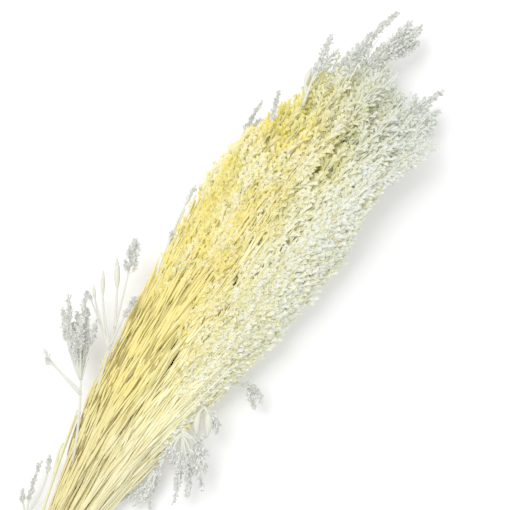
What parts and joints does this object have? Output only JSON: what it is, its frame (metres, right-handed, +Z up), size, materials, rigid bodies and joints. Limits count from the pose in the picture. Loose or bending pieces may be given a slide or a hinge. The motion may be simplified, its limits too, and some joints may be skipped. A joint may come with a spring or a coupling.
{
  "type": "dried caspia bunch",
  "caption": "Bunch of bleached dried caspia lying on its side: long bare stems held by an elastic band, fanning into tapering heads of small pale florets.",
  "frame": {"origin": "on the surface the bunch lies on, under the middle of its bounding box", "axes": "+X from the cut ends to the tips, +Y across the bunch, +Z up"},
  "size_m": [0.7034, 0.206, 0.0826],
  "materials": {
    "golden_caspia": "matte",
    "pale_caspia": "matte",
    "elastic": "matte"
  },
  "bodies": {
    "root": {"spray_01": "pale_caspia", "spray_02": "golden_caspia", "spray_03": "golden_caspia", "spray_04": "golden_caspia", "spray_05": "pale_caspia", "spray_06": "pale_caspia", "spray_07": "golden_caspia", "spray_08": "golden_caspia", "spray_09": "golden_caspia", "spray_10": "pale_caspia", "spray_11": "pale_caspia", "spray_12": "golden_caspia", "spray_13": "golden_caspia", "spray_14": "golden_caspia", "spray_15": "golden_caspia", "spray_16": "pale_caspia", "spray_17": "pale_caspia", "spray_18": "pale_caspia", "spray_19": "golden_caspia", "spray_20": "golden_caspia", "spray_21": "golden_caspia", "spray_22": "golden_caspia", "spray_23": "pale_caspia", "spray_24": "pale_caspia", "spray_25": "golden_caspia", "spray_26": "golden_caspia", "spray_27": "golden_caspia", "spray_28": "golden_caspia", "spray_29": "pale_caspia", "spray_30": "pale_caspia", "spray_31": "golden_caspia", "spray_32": "golden_caspia", "spray_33": "golden_caspia", "spray_34": "pale_caspia", "spray_35": "golden_caspia", "spray_36": "golden_caspia", "spray_37": "golden_caspia", "stem_band": "elastic"}
  },
  "joints": []
}
